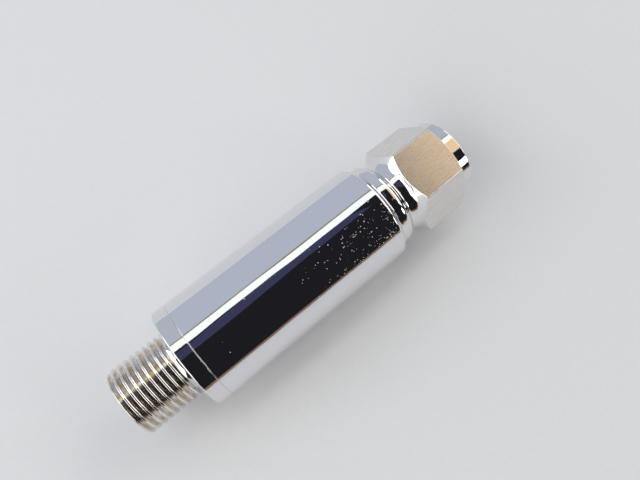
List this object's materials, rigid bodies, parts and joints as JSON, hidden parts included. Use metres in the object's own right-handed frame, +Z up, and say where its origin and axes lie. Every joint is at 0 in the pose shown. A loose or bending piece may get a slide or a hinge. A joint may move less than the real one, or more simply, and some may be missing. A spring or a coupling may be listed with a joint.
{
  "type": "in-line check valve",
  "caption": "Plated in-line non-return valve: round barrel with a male parallel thread at the outlet, a swivel hexagon nut at the inlet, and a sprung poppet and strainer inside.",
  "frame": {"origin": "middle of the overall length, on the surface that the barrel lies on", "axes": "+X runs along the valve's axis from the outlet thread to the swivel nut, +Z is up, and the axis lies 7.5 mm above the origin"},
  "size_m": [0.056, 0.015, 0.015],
  "materials": {
    "plated_barrel": "polished plating",
    "plated_port": "polished plating, brass showing warm in the thread",
    "plated_nut": "polished plating, flats finely lined along the axis",
    "plated_stem": "plain plating",
    "brass": "turned",
    "stainless": "turned or pressed",
    "stainless_mesh": "woven wire",
    "spring_steel": "drawn wire and strip",
    "black_rubber": "smooth",
    "fibre_gasket": "pressed fibre"
  },
  "bodies": {
    "casing": {"outlet_port": "plated_port", "port_o_ring": "black_rubber", "barrel": "plated_barrel", "poppet_guide": "brass", "valve_sleeve": "brass", "spring_shim": "stainless", "return_spring": "spring_steel", "valve_seat": "brass", "seat_o_ring": "black_rubber", "spacer_sleeve": "brass", "strainer_cage": "stainless", "strainer_mesh": "stainless_mesh", "inlet_stem": "plated_stem", "stem_gasket": "fibre_gasket", "nose_o_ring": "black_rubber"},
    "poppet": {"poppet": "brass", "poppet_pad": "black_rubber", "pad_washer": "stainless", "poppet_nut": "stainless"},
    "snap_ring": {"nut_snap_ring": "spring_steel"},
    "nut": {"swivel_nut": "plated_nut"}
  },
  "joints": [
    {"name": "nut_spin", "type": "hinge", "parent": "casing", "child": "snap_ring", "pos_m": [0.0167, 0, 0.0075], "axis": [1, 0, 0], "continuous": true},
    {"name": "nut_play", "type": "slide", "parent": "snap_ring", "child": "nut", "axis": [1, 0, 0], "range_m": [-0.00022, 0.00022]},
    {"name": "poppet_lift", "type": "slide", "parent": "casing", "child": "poppet", "axis": [-1, 0, 0], "range_m": [0, 0.0022], "stiffness_N_per_m": 300, "springref_m": -0.0015, "deforming": ["return_spring"]}
  ]
}
